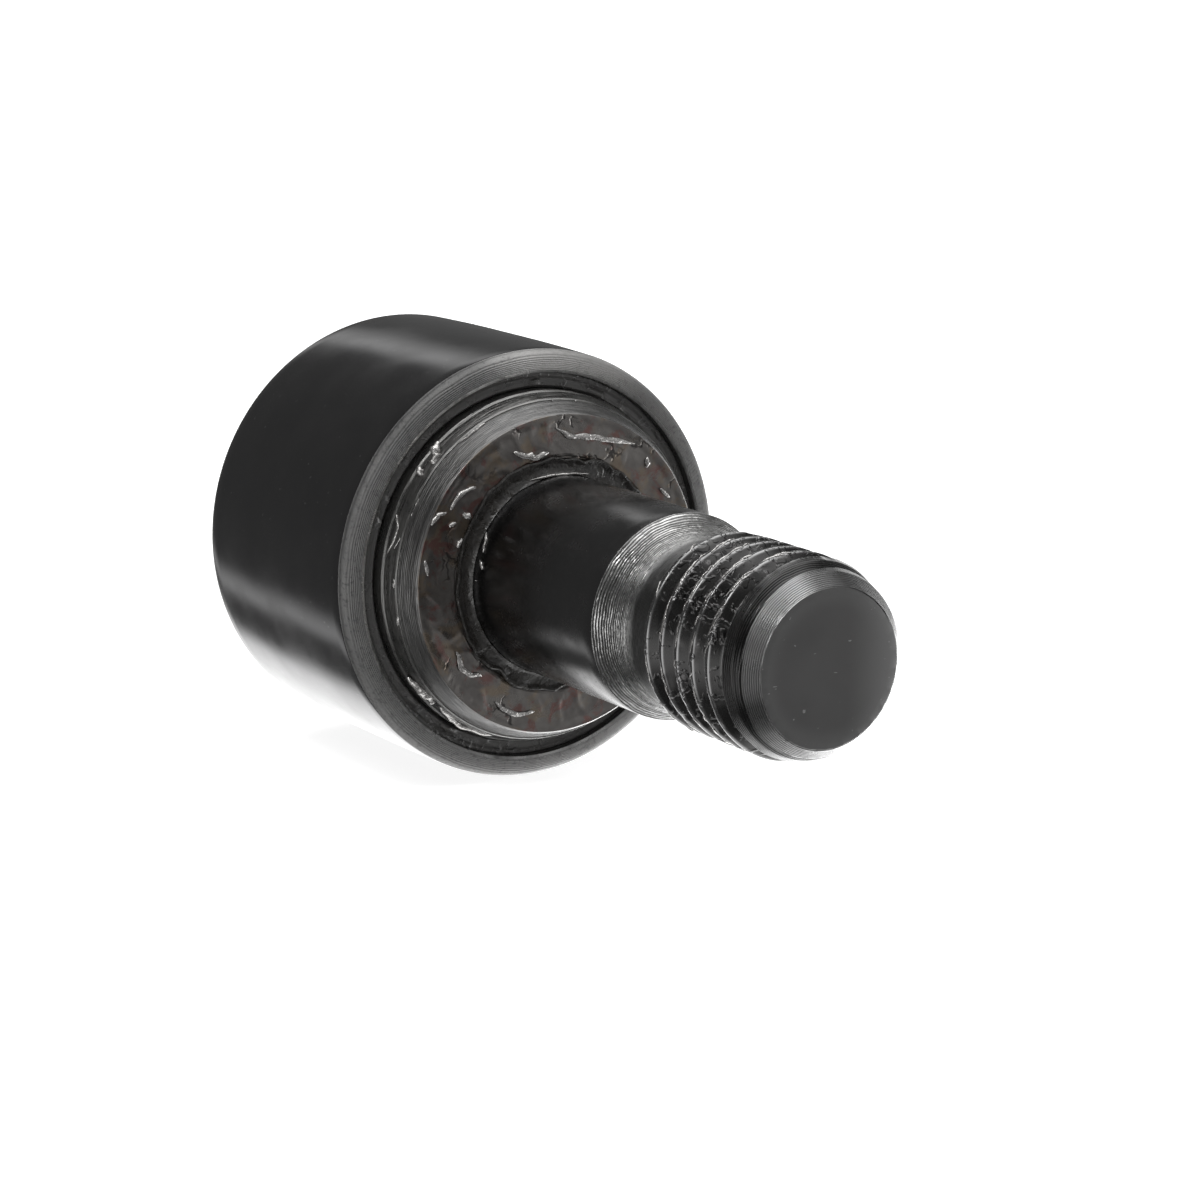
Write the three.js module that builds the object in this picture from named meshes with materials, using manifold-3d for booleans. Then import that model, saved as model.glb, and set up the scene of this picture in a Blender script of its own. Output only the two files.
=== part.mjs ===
// Stud-type cam follower (track roller): a thick outer ring turning on caged needle rollers around a one-piece headed stud.
// Units: millimetres. +Z up. The roller axis is the Y axis and the stud points along -Y.
// Origin: on the axis, in the plane of the end plate's outer face, which is the shoulder that bears on the machine.
// Every profile below is written as [radius, s], where s runs along the axis towards the threaded tip (y = -s).
import * as THREE from "three";
import { mergeVertices } from "three/addons/utils/BufferGeometryUtils.js";
import Module from "manifold-3d";

const wasm = await Module();
wasm.setup();

// ---- driving dimensions ----
const SEG = 48; // facets round every turned surface
const ROLLER_R = 11.0; // outer ring, 22 mm diameter
const RING_FRONT = -2.2; // outer ring's end face on the stud side
const RING_WIDTH = 15.0;
const RING_BACK = RING_FRONT - RING_WIDTH;
const OUTER_RACE_R = 8.8;
const INNER_RACE_R = 6.22;
const PLATE_INNER = -4.1; // inner face of the end plate
const HEAD_INNER = RING_FRONT + RING_BACK - PLATE_INNER; // inner face of the stud's head, mirrored
const HEAD_FACE = -18.2;
const THRUST_R = 9.3; // thrust flange of the plate and of the head
const RIM_R = 8.95; // rim that the seal lip runs on
const PLATE_FACE_R = 8.05;
const SEAT_R = 5.75; // stud seat under the end plate
const SHANK_R = 5.0;
const SHANK_END = 11.0;
const NECK_R = 4.1;
const NECK_END = 14.3;
const STUD_END = 23.0;
const TIP_R = 3.72;
const PITCH = 1.25; // M10 x 1.25, right hand
const CREST_R = 4.8;
const ROOT_R = 4.233;
const HEX_AF = 5.0; // hexagon socket in the head
const HEX_DEPTH = 4.6;
const LUBE_R = 1.5; // axial grease passage
const LUBE_END = -8.9;
const CROSS_R = 0.8; // cross hole from the passage to the raceway
const NEEDLES = 14;
const NEEDLE_R = 1.25;
const NEEDLE_LENGTH = 8.4;
const PITCH_CIRCLE_R = 7.5;
const CAGE_IN = 6.85;
const CAGE_OUT = 8.2;
const CAGE_LENGTH = 10.6;
const RING_MID = (RING_FRONT + RING_BACK) / 2;

// ---- materials ----
const steel = (color, roughness, metalness = 0.9) =>
  new THREE.MeshStandardMaterial({ color, roughness, metalness });
const blackOxide = steel(0x1d1d1f, 0.32);
const blackOxideGround = steel(0x18181a, 0.22);
const plateSteel = steel(0x35302e, 0.42, 0.75);
const sealRubber = new THREE.MeshStandardMaterial({ color: 0x101012, roughness: 0.55, metalness: 0 });
const bearingSteel = steel(0xb9bcc0, 0.18, 1);
const cageSteel = steel(0x8a8d90, 0.35, 1);
const brass = steel(0xb08d4a, 0.3, 1);

// ---- helpers ----
// A closed turned solid. A profile that starts or ends off the axis is closed on itself.
function turned(profile, segments = SEG) {
  const pts = profile.map(([r, s]) => new THREE.Vector2(r, -s));
  const onAxis = pts[0].x === 0 && pts[pts.length - 1].x === 0;
  const loop = onAxis ? pts : [...pts, pts[0].clone()];
  let area = 0;
  loop.forEach((p, i) => {
    const q = loop[(i + 1) % loop.length];
    area += p.x * q.y - q.x * p.y;
  });
  if (area < 0) loop.reverse();
  return new THREE.LatheGeometry(loop, segments);
}

function toSolid(geometry) {
  const bare = geometry.index ? geometry.toNonIndexed() : geometry.clone();
  const only = new THREE.BufferGeometry().setAttribute("position", bare.getAttribute("position"));
  const merged = mergeVertices(only, 1e-4);
  const kept = [];
  for (let i = 0; i < merged.index.count; i += 3) {
    const [a, b, c] = merged.index.array.slice(i, i + 3);
    if (a !== b && b !== c && c !== a) kept.push(a, b, c);
  }
  const made = new wasm.Manifold(
    new wasm.Mesh({
      numProp: 3,
      vertProperties: merged.attributes.position.array,
      triVerts: new Uint32Array(kept),
    }),
  );
  if (made.volume() >= 0) return made;
  const flipped = new Uint32Array(kept);
  for (let i = 0; i < flipped.length; i += 3)
    [flipped[i + 1], flipped[i + 2]] = [flipped[i + 2], flipped[i + 1]];
  return new wasm.Manifold(
    new wasm.Mesh({ numProp: 3, vertProperties: merged.attributes.position.array, triVerts: flipped }),
  );
}

function fromSolid(solid) {
  const m = solid.getMesh();
  const position = new Float32Array(m.numVert * 3);
  for (let i = 0; i < m.numVert; i++)
    position.set(m.vertProperties.subarray(i * m.numProp, i * m.numProp + 3), i * 3);
  const g = new THREE.BufferGeometry();
  g.setAttribute("position", new THREE.BufferAttribute(position, 3));
  g.setIndex(new THREE.BufferAttribute(new Uint32Array(m.triVerts), 1));
  g.computeVertexNormals();
  return g;
}

const root = new THREE.Group();
function add(name, geometry, material, parent = root) {
  const mesh = new THREE.Mesh(geometry, material);
  mesh.name = name;
  parent.add(mesh);
  return mesh;
}

// ---- outer ring ----
// One end of the ring's section, from the raceway round to the slightly crowned outside, at distance d in from its end face.
const ringEnd = [
  [OUTER_RACE_R, 2.05],
  [9.4, 2.05],
  [9.4, 1.2],
  [9.8, 1.2],
  [9.8, 0.1],
  [9.9, 0.0],
  [10.2, 0.0],
  [10.58, 0.1],
  [10.8, 0.3],
  [10.9, 0.62],
  [10.93, 1.0],
  [10.97, 3.2],
  [ROLLER_R, 5.6],
];
add(
  "outer_ring",
  turned([
    ...ringEnd.map(([r, d]) => [r, RING_FRONT - d]),
    ...[...ringEnd].reverse().map(([r, d]) => [r, RING_BACK + d]),
  ]),
  blackOxideGround,
);

// ---- seals, pressed into the recesses of the outer ring ----
const sealEnd = [
  [9.02, 0.64],
  [9.16, 0.47],
  [9.76, 0.47],
  [9.76, 1.16],
  [9.2, 1.16],
  [9.02, 0.98],
];
add("seal_stud_side", turned(sealEnd.map(([r, d]) => [r, RING_FRONT - d])), sealRubber);
add("seal_head_side", turned(sealEnd.map(([r, d]) => [r, RING_BACK + d])), sealRubber);

// ---- end plate, pressed on the stud ----
add(
  "end_plate",
  turned([
    [5.78, PLATE_INNER],
    [THRUST_R, PLATE_INNER],
    [THRUST_R, -3.42],
    [RIM_R, -3.42],
    [RIM_R, -1.94],
    [8.75, -1.3],
    [8.5, -0.85],
    [PLATE_FACE_R, 0],
    [5.9, 0],
    [5.78, -0.12],
  ]),
  plateSteel,
);

// ---- stud: head, inner raceway, plate seat, shank, thread ----
// The whole outside is one turned surface. Its last rows start as rings and are then drawn out along the helix:
// each row moves one pitch along the stud in one turn, so the last column meets the first one a pitch further on.
const THREAD_ROWS = [
  [-0.0625, CREST_R],
  [0.0625, CREST_R],
  [0.394, ROOT_R],
  [0.606, ROOT_R],
];
const TURNS = Math.ceil((STUD_END - NECK_END) / PITCH) + 2;
const CREST_PHASE = 0.52; // turns from the end of the neck to the first crest, straight above the axis
const round = (v) => Math.round(v * 1000) / 1000;
// Largest radius allowed at s: the run-out cone at the neck and the chamfer at the tip.
const threadEnvelope = (s) => Math.min(NECK_R + (s - NECK_END), TIP_R + (STUD_END - s), CREST_R);

function studOutside() {
  const plain = [
    [0, HEAD_FACE],
    [8.25, HEAD_FACE],
    [8.6, HEAD_FACE + 0.12],
    [8.85, HEAD_FACE + 0.42],
    [RIM_R, HEAD_FACE + 0.8],
    [RIM_R, HEAD_INNER - 0.68],
    [THRUST_R, HEAD_INNER - 0.68],
    [THRUST_R, HEAD_INNER],
    [6.1, HEAD_INNER],
    [6.1, HEAD_INNER + 0.5],
    [INNER_RACE_R, HEAD_INNER + 0.6],
    [INNER_RACE_R, PLATE_INNER - 0.04],
    [SEAT_R, PLATE_INNER - 0.04],
    [SEAT_R, -0.62],
    [SEAT_R - 0.12, -0.5],
    [SHANK_R + 0.12, -0.5],
    [SHANK_R, -0.38],
    [SHANK_R, SHANK_END],
    [NECK_R, SHANK_END + (SHANK_R - NECK_R)],
  ];
  const rows = [];
  for (let t = -1; t < TURNS - 1; t++)
    for (const [phase, r] of THREAD_ROWS) rows.push([r, NECK_END + (t + phase + CREST_PHASE) * PITCH]);
  const profile = [...plain, ...rows, [0, STUD_END]].map(([r, s]) => new THREE.Vector2(r, -s));
  profile.reverse();
  const g = new THREE.LatheGeometry(profile, SEG);
  const p = g.getAttribute("position");
  const n = profile.length;
  for (let i = 0; i <= SEG; i++)
    for (let k = 0; k < rows.length; k++) {
      const v = i * n + (rows.length - k);
      const [r, s0] = rows[k];
      const s = round(Math.min(STUD_END, Math.max(NECK_END, s0 - (PITCH * i) / SEG)));
      const radius = round(Math.min(r, threadEnvelope(s)));
      const phi = ((i % SEG) / SEG) * 2 * Math.PI;
      p.setXYZ(v, radius * Math.sin(phi), -s, radius * Math.cos(phi));
    }
  return g;
}

const hexSocket = new THREE.CylinderGeometry(
  HEX_AF / Math.sqrt(3),
  HEX_AF / Math.sqrt(3),
  HEX_DEPTH + 1,
  6,
);
hexSocket.translate(0, -HEAD_FACE - HEX_DEPTH / 2 + 0.5, 0);
// Cone at the mouth of the socket and at its bottom.
const socketMouth = turned([
  [0, HEAD_FACE - 0.5],
  [3.6, HEAD_FACE - 0.5],
  [3.1, HEAD_FACE],
  [2.7, HEAD_FACE + 0.4],
  [0, HEAD_FACE + 0.4],
], 24);
const lubeBore = turned([
  [0, HEAD_FACE + HEX_DEPTH - 0.4],
  [LUBE_R, HEAD_FACE + HEX_DEPTH - 0.4],
  [LUBE_R, LUBE_END - 0.6],
  [0, LUBE_END],
], 24);
const crossHole = new THREE.CylinderGeometry(CROSS_R, CROSS_R, 8, 16);
crossHole.rotateX(Math.PI / 2); // along Z, from the passage up to the raceway
crossHole.translate(0, -RING_MID, 4);
const stud = toSolid(studOutside())
  .subtract(toSolid(hexSocket))
  .subtract(toSolid(socketMouth))
  .subtract(toSolid(lubeBore))
  .subtract(toSolid(crossHole));
add("stud", fromSolid(stud), blackOxide);

// ---- grease fitting pressed in the bottom of the socket ----
const FITTING_FACE = HEAD_FACE + HEX_DEPTH - 1.1;
add(
  "grease_fitting",
  turned(
    [
      [0.35, FITTING_FACE + 0.5],
      [0.62, FITTING_FACE],
      [1.5, FITTING_FACE],
      [1.75, FITTING_FACE + 0.22],
      [1.75, FITTING_FACE + 1.05],
      [1.46, FITTING_FACE + 1.05],
      [1.46, FITTING_FACE + 3.2],
      [1.3, FITTING_FACE + 3.4],
      [0.35, FITTING_FACE + 3.4],
    ],
    24,
  ),
  brass,
);

// ---- needle cage and needle rollers ----
let cage = toSolid(
  turned([
    [CAGE_IN, RING_MID - CAGE_LENGTH / 2],
    [CAGE_OUT, RING_MID - CAGE_LENGTH / 2],
    [CAGE_OUT, RING_MID + CAGE_LENGTH / 2],
    [CAGE_IN, RING_MID + CAGE_LENGTH / 2],
  ]),
);
const needleProfile = [
  [0, -NEEDLE_LENGTH / 2],
  [NEEDLE_R - 0.2, -NEEDLE_LENGTH / 2],
  [NEEDLE_R, -NEEDLE_LENGTH / 2 + 0.25],
  [NEEDLE_R, NEEDLE_LENGTH / 2 - 0.25],
  [NEEDLE_R - 0.2, NEEDLE_LENGTH / 2],
  [0, NEEDLE_LENGTH / 2],
];
for (let i = 0; i < NEEDLES; i++) {
  const a = ((i + 0.5) / NEEDLES) * 2 * Math.PI;
  const pocket = new THREE.BoxGeometry(3, NEEDLE_LENGTH + 0.2, 2 * NEEDLE_R + 0.16);
  pocket.translate(PITCH_CIRCLE_R, 0, 0);
  pocket.rotateY(-a);
  pocket.translate(0, -RING_MID, 0);
  cage = cage.subtract(toSolid(pocket));
  const needle = add("needle_" + String(i + 1).padStart(2, "0"), turned(needleProfile, 12), bearingSteel);
  needle.position.set(PITCH_CIRCLE_R * Math.cos(a), -RING_MID, PITCH_CIRCLE_R * Math.sin(a));
}
add("needle_cage", fromSolid(cage), cageSteel);

export default root;
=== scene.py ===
import math

import bmesh
import bpy
import numpy as np
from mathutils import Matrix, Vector, noise


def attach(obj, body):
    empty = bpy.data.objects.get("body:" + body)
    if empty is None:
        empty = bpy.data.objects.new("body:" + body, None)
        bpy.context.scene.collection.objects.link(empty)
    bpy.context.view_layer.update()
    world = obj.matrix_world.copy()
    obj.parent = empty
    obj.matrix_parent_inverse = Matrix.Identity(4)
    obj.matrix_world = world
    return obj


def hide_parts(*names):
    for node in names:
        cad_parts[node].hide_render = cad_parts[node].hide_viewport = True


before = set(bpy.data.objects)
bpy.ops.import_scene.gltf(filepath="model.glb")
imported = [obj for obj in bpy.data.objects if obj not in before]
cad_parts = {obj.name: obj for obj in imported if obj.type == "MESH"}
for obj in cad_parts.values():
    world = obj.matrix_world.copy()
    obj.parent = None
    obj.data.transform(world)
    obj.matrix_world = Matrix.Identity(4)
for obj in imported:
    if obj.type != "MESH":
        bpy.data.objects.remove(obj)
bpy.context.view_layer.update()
MM = 0.001
TAU = 2 * math.pi

# ------------------------------------------------------------------ camera and light first
AZ, EL = math.radians(-32.2), math.radians(12.9)
ROLLER_R = 11.0
back = Vector((math.sin(AZ) * math.cos(EL), -math.cos(AZ) * math.cos(EL), math.sin(EL)))
right = Vector((math.cos(AZ), math.sin(AZ), 0))
up = back.cross(right)
ring_edge = Vector((0, 2.96, 0))
spot = ring_edge + ROLLER_R * (0.328 * right - 0.167 * up + 16.93 * back)
cam_data = bpy.data.cameras.new("camera")
cam_data.lens, cam_data.sensor_width = 111.0, 36.0
cam_data.clip_start, cam_data.clip_end = 0.01, 20
cam_data.dof.use_dof = False
cam = bpy.data.objects.new("camera", cam_data)
bpy.context.scene.collection.objects.link(cam)
cam.location = spot * MM
cam.rotation_mode = "QUATERNION"
cam.rotation_quaternion = (-back).to_track_quat("-Z", "Y")
bpy.context.scene.camera = cam
scene = bpy.context.scene
scene.view_settings.view_transform = "Standard"
scene.view_settings.look = "None"


# ------------------------------------------------------------------ small node helpers
class Nodes:
    """Builds one node tree. Sockets are passed straight to the next call."""

    def __init__(self, tree):
        self.t = tree

    def put(self, kind, inputs=(), out=0, **props):
        n = self.t.nodes.new(kind)
        for k, v in props.items():
            setattr(n, k, v)
        items = inputs.items() if isinstance(inputs, dict) else enumerate(inputs)
        for k, v in items:
            if v is None:
                continue
            if isinstance(v, bpy.types.NodeSocket):
                self.t.links.new(v, n.inputs[k])
            else:
                n.inputs[k].default_value = v
        return n.outputs[out] if len(n.outputs) else None

    def math(self, op, a, b=None, c=None, clamp=False):
        return self.put("ShaderNodeMath", [a, b, c], operation=op, use_clamp=clamp)

    def add(self, a, b):
        return self.math("ADD", a, b)

    def mul(self, a, b):
        return self.math("MULTIPLY", a, b)

    def ramp(self, v, lo, hi, a=0.0, b=1.0, smooth=True):
        n = self.t.nodes.new("ShaderNodeMapRange")
        n.interpolation_type = "SMOOTHSTEP" if smooth else "LINEAR"
        n.clamp = True
        for k, x in enumerate((v, lo, hi, a, b)):
            if isinstance(x, bpy.types.NodeSocket):
                self.t.links.new(x, n.inputs[k])
            else:
                n.inputs[k].default_value = x
        return n.outputs[0]

    def noise(self, vec, scale, detail=2.0, rough=0.5, distort=0.0, dims="3D"):
        return self.put(
            "ShaderNodeTexNoise",
            {"Vector": vec, "Scale": scale, "Detail": detail, "Roughness": rough, "Distortion": distort},
            noise_dimensions=dims,
        )

    def mix(self, f, a, b):
        n = self.t.nodes.new("ShaderNodeMix")
        n.data_type = "RGBA"
        for k, x in ((0, f), (6, a), (7, b)):
            if isinstance(x, bpy.types.NodeSocket):
                self.t.links.new(x, n.inputs[k])
            else:
                n.inputs[k].default_value = x
        return n.outputs[2]

    def bump(self, height, distance, strength=1.0, normal=None):
        return self.put(
            "ShaderNodeBump",
            {"Strength": strength, "Distance": distance, "Height": height, "Normal": normal},
        )


def rgb(r, g=None, b=None):
    return (r, r if g is None else g, r if b is None else b, 1.0)


# ------------------------------------------------------------------ world: white to the eye, studio cards to the metal
world = bpy.data.worlds.new("studio")
scene.world = world
world.use_nodes = True
world.node_tree.nodes.clear()
w = Nodes(world.node_tree)
direction = w.put("ShaderNodeTexCoord", out=0)
x, y, z = (w.put("ShaderNodeSeparateXYZ", [direction], out=i) for i in range(3))
around = w.math("ARCTAN2", z, x)  # angle about the Y axis, 0 along +X, up is positive


def lune(lo, hi, soft_lo, soft_hi, level):
    """A card that spans an angle about the roller's axis."""
    rise = w.ramp(around, math.radians(lo - soft_lo), math.radians(lo + soft_lo))
    fall = w.ramp(around, math.radians(hi - soft_hi), math.radians(hi + soft_hi), 1.0, 0.0)
    return w.mul(w.mul(rise, fall), level)


behind = w.ramp(y, 0.66, 0.78)
front = w.ramp(y, 0.66, 0.78, 1.0, 0.0)
cards = w.add(lune(51, 64, 12, 5, 0.95), lune(-136, -125, 8, 5, 0.95))
below_back = w.mul(w.ramp(around, math.radians(-104), math.radians(-88)), w.ramp(z, -0.15, -0.3))
behind_light = w.add(w.add(0.14, cards), w.mul(below_back, 1.85))


def blob(d, wide, soft, level):
    """A soft round card of a half width in degrees, seen in one direction."""
    d = Vector(d).normalized()
    dot = w.put("ShaderNodeVectorMath", [direction, tuple(d)], out=1, operation="DOT_PRODUCT")
    return w.mul(w.ramp(dot, math.cos(math.radians(wide + soft)), math.cos(math.radians(max(0.1, wide - soft)))), level)


lights = [
    0.14,
    blob((-0.5, -0.34, 0.79), 12, 6, 3.6),  # soft box, upper left
    blob((0.2, -0.02, 0.97), 28, 14, 3.8),  # ceiling
    blob((0.38, -0.78, 0.5), 20, 14, 0.8),  # card above the camera
    blob((0.92, -0.18, -0.35), 18, 10, 5.0),  # card, right
    blob((-0.86, -0.46, -0.18), 20, 13, 2.5),  # wall card, front left
    blob((0.5, -0.84, -0.21), 18, 12, 0.42),  # what the flat faces look into
    blob((0.76, 0.62, 0.1), 15, 9, 1.9),  # window, right
    blob((0.74, 0.52, -0.42), 13, 8, 5.0),
    blob((0.25, 0.1, -0.97), 34, 12, 2.4),  # lit sheet under the part
    blob((0.6, 0.45, -0.62), 22, 12, 3.6),
]
front_light = lights[0]
for extra in lights[1:]:
    front_light = w.add(front_light, extra)
total = w.add(w.mul(behind, behind_light), w.mul(front, front_light))
seen = w.put("ShaderNodeLightPath", out=0)
studio = w.put("ShaderNodeBackground", {"Color": rgb(1), "Strength": total})
white = w.put("ShaderNodeBackground", {"Color": rgb(0.985), "Strength": 1.0})
both = w.put("ShaderNodeMixShader", {0: seen, 1: studio, 2: white})
w.put("ShaderNodeOutputWorld", {"Surface": both})


def area(name, at, size, watts, target=(0, 0.004, 0)):
    data = bpy.data.lights.new(name, "AREA")
    data.shape, data.size, data.energy = "DISK", size, watts
    lamp = bpy.data.objects.new(name, data)
    scene.collection.objects.link(lamp)
    lamp.location = at
    lamp.rotation_mode = "QUATERNION"
    lamp.rotation_quaternion = (Vector(target) - Vector(at)).to_track_quat("-Z", "Y")
    return lamp


area("key_lamp", (-0.16, -0.11, 0.26), 0.045, 0.12)

# floor
bpy.ops.mesh.primitive_grid_add(x_subdivisions=2, y_subdivisions=2, size=12, location=(0, 0, -0.01102))
floor = bpy.context.object
floor.name = "studio_floor"
floor.visible_glossy = False
fm = bpy.data.materials.new("studio_floor")
fm.use_nodes = True
fm.node_tree.nodes.clear()
f = Nodes(fm.node_tree)
lit = f.put("ShaderNodeBsdfDiffuse", {"Color": rgb(0.55)})
glow = f.put("ShaderNodeEmission", {"Color": rgb(1.0), "Strength": 0.86})
f.put("ShaderNodeOutputMaterial", {"Surface": f.put("ShaderNodeAddShader", [lit, glow])})
floor.data.materials.append(fm)


# ------------------------------------------------------------------ materials
def coords(n):
    """Object coordinates in mm: the vector, radius, position along the stud and angle about the axis."""
    raw = n.put("ShaderNodeTexCoord", out=3)
    vec = n.put("ShaderNodeVectorMath", [raw, (1000, 1000, 1000)], operation="MULTIPLY")
    xx, yy, zz = (n.put("ShaderNodeSeparateXYZ", [vec], out=i) for i in range(3))
    radius = n.math("SQRT", n.add(n.mul(xx, xx), n.mul(zz, zz)))
    along = n.mul(yy, -1.0)
    angle = n.math("ARCTAN2", xx, zz)
    return vec, radius, along, angle


def lined(n, along, wobble, pitch, sharp=1.0):
    """Turning marks: 0 to 1 across each groove, set along one coordinate."""
    t = n.mul(n.add(along, wobble), 1.0 / pitch)
    return n.math("ABSOLUTE", n.math("SINE", n.mul(t, math.pi)))


def material(name, build, **sockets):
    m = bpy.data.materials.new(name)
    m.use_nodes = True
    m.node_tree.nodes.clear()
    n = Nodes(m.node_tree)
    made = build(n)
    p = m.node_tree.nodes.new("ShaderNodeBsdfPrincipled")
    for k, v in {**sockets, **made}.items():
        if isinstance(v, bpy.types.NodeSocket):
            m.node_tree.links.new(v, p.inputs[k])
        else:
            p.inputs[k].default_value = v
    n.put("ShaderNodeOutputMaterial", {"Surface": p.outputs[0]})
    return m


def ground(n):
    # polished outside of the roller: faint grinding lines, a few dull patches and pin-prick dust
    vec, radius, along, angle = coords(n)
    cloud = n.noise(vec, 0.35, 3, 0.6)
    fine = n.noise(vec, 9.0, 2, 0.5)
    ring = n.put("ShaderNodeCombineXYZ", [n.mul(along, 26.0), n.mul(radius, 2.0), n.mul(angle, 0.8)])
    grind = n.noise(ring, 1.0, 2, 0.6)
    base = n.mix(cloud, rgb(0.105, 0.105, 0.108), rgb(0.14, 0.138, 0.138))
    specks = n.ramp(n.noise(vec, 6.0, 0, 0.5), 0.83, 0.87)
    base = n.mix(specks, base, rgb(0.32))
    rough = n.add(n.ramp(cloud, 0.3, 0.7, 0.13, 0.2), n.mul(grind, 0.03))
    height = n.add(n.mul(grind, 0.5), n.mul(fine, 0.35))
    return {"Base Color": base, "Roughness": rough, "Normal": n.bump(height, 0.0000006)}


def turned(n):
    # corner and end faces: turned, then blackened, so duller, with circular marks that smear the light
    vec, radius, along, angle = coords(n)
    cloud = n.noise(vec, 0.8, 4, 0.62)
    wob = n.mul(n.noise(vec, 0.5, 1), 0.06)
    marks = lined(n, n.add(radius, n.mul(along, 0.7)), wob, 0.07)
    speck = n.ramp(n.noise(vec, 4.2, 3, 0.7), 0.52, 0.66)
    around_at = n.put("ShaderNodeCombineXYZ", [n.mul(radius, 1.2), n.mul(along, 1.2), n.mul(angle, 2.0)])
    stain = n.ramp(n.noise(around_at, 1.0, 3, 0.6), 0.42, 0.62)
    base = n.mix(cloud, rgb(0.105), rgb(0.19, 0.188, 0.184))
    base = n.mix(n.mul(speck, 0.55), base, rgb(0.05))
    base = n.mix(n.mul(stain, 0.3), base, rgb(0.11))
    zz = n.put("ShaderNodeSeparateXYZ", [vec], out=2)
    xx = n.put("ShaderNodeSeparateXYZ", [vec], out=0)
    # painted shade: the turned faces are darkened in colour towards the upper left, where the soft box would show in
    # them
    wet_and_painted_shade = n.mul(n.ramp(n.add(zz, n.mul(xx, -0.45)), 9.7, 11.2), n.ramp(angle, -0.35, -0.15, 1.0, 0.0))
    base = n.mix(n.mul(wet_and_painted_shade, 0.45), base, rgb(0.03))
    # painted highlight: the top of the turned faces is lightened in colour
    top = n.mul(n.ramp(zz, 7.5, 10.2), n.ramp(angle, -0.3, 0.0))
    base = n.mix(n.mul(top, 0.35), base, rgb(0.4, 0.395, 0.385))
    rough = n.ramp(cloud, 0.3, 0.75, 0.5, 0.62)
    height = n.add(n.mul(marks, 1.0), n.mul(n.noise(vec, 9.0, 3, 0.7), 1.2))
    return {"Base Color": base, "Roughness": rough, "Normal": n.bump(height, 0.00002)}


def lip_edge(n):
    # sharp inner edge of the roller's face, rubbed bright in spots all round, with a painted highlight that lightens it
    # towards white across the upper left
    vec, radius, along, angle = coords(n)
    cloud = n.noise(vec, 0.7, 4, 0.65)
    # painted highlight: this mask keeps the near-white colour to the upper left of the edge
    painted_highlight_upper_left = n.mul(n.ramp(angle, -2.2, -1.7), n.ramp(angle, -0.3, 0.1, 1.0, 0.0))
    base = n.mix(n.mul(n.ramp(cloud, 0.25, 0.55), n.add(n.mul(painted_highlight_upper_left, 0.85), 0.15)), rgb(0.1), rgb(0.95, 0.94, 0.92))
    rough = n.ramp(cloud, 0.3, 0.7, 0.36, 0.22)
    return {"Base Color": base, "Roughness": rough, "Normal": n.bump(n.noise(vec, 6.0, 3, 0.6), 0.00002)}


def groove_dark(n):
    # faces near the seal: blackened steel with grease that has set in streaks
    vec, radius, along, angle = coords(n)
    cloud = n.noise(vec, 1.0, 4, 0.6)
    streak_at = n.put("ShaderNodeCombineXYZ", [n.mul(radius, 6.0), n.mul(along, 6.0), n.mul(angle, 5.0)])
    streak = n.noise(streak_at, 1.0, 3, 0.6, 0.4)
    base = n.mix(cloud, rgb(0.07), rgb(0.13, 0.128, 0.122))
    rough = n.ramp(n.add(n.mul(streak, 0.6), n.mul(cloud, 0.4)), 0.35, 0.65, 0.22, 0.45)
    return {"Base Color": base, "Roughness": rough, "Normal": n.bump(streak, 0.00005)}


def plate(n):
    # end plate: blackened steel under a skin of old grease with cracks and rusty and ochre tints
    vec, radius, along, angle = coords(n)
    cloud = n.noise(vec, 0.45, 3, 0.6, 0.3)
    tint = n.noise(vec, 0.8, 4, 0.65, 0.5)
    tint2 = n.noise(n.put("ShaderNodeVectorMath", [vec, (7.3, 2.1, 4.9)], operation="ADD"), 0.6, 4, 0.65, 0.5)
    base = n.mix(n.ramp(cloud, 0.35, 0.65), rgb(0.10, 0.093, 0.089), rgb(0.14, 0.133, 0.126))
    base = n.mix(n.ramp(tint2, 0.5, 0.64, 0.0, 0.75), base, rgb(0.15, 0.118, 0.085))
    base = n.mix(n.ramp(tint, 0.52, 0.64, 0.0, 0.85), base, rgb(0.125, 0.062, 0.055))
    push = n.put("ShaderNodeTexNoise", {"Vector": vec, "Scale": 1.4}, out=1)
    push = n.put("ShaderNodeVectorMath", [push, (1.3, 1.3, 1.3)], operation="MULTIPLY")
    at = n.put("ShaderNodeVectorMath", [vec, push], operation="ADD")
    cell = n.put("ShaderNodeTexVoronoi", {"Vector": at, "Scale": 0.5}, feature="DISTANCE_TO_EDGE")
    crack = n.mul(n.ramp(cell, 0.0, 0.06, 1.0, 0.0), n.ramp(n.noise(vec, 0.45, 1), 0.54, 0.62))
    base = n.mix(n.mul(crack, 0.8), base, rgb(0.012, 0.010, 0.010))
    film = n.noise(vec, 0.7, 2, 0.5, 0.8)
    rough = n.ramp(film, 0.35, 0.65, 0.26, 0.42)
    height = n.add(n.mul(film, 0.8), n.mul(crack, -0.35))
    return {"Base Color": base, "Roughness": rough, "Normal": n.bump(height, 0.00006)}


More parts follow.
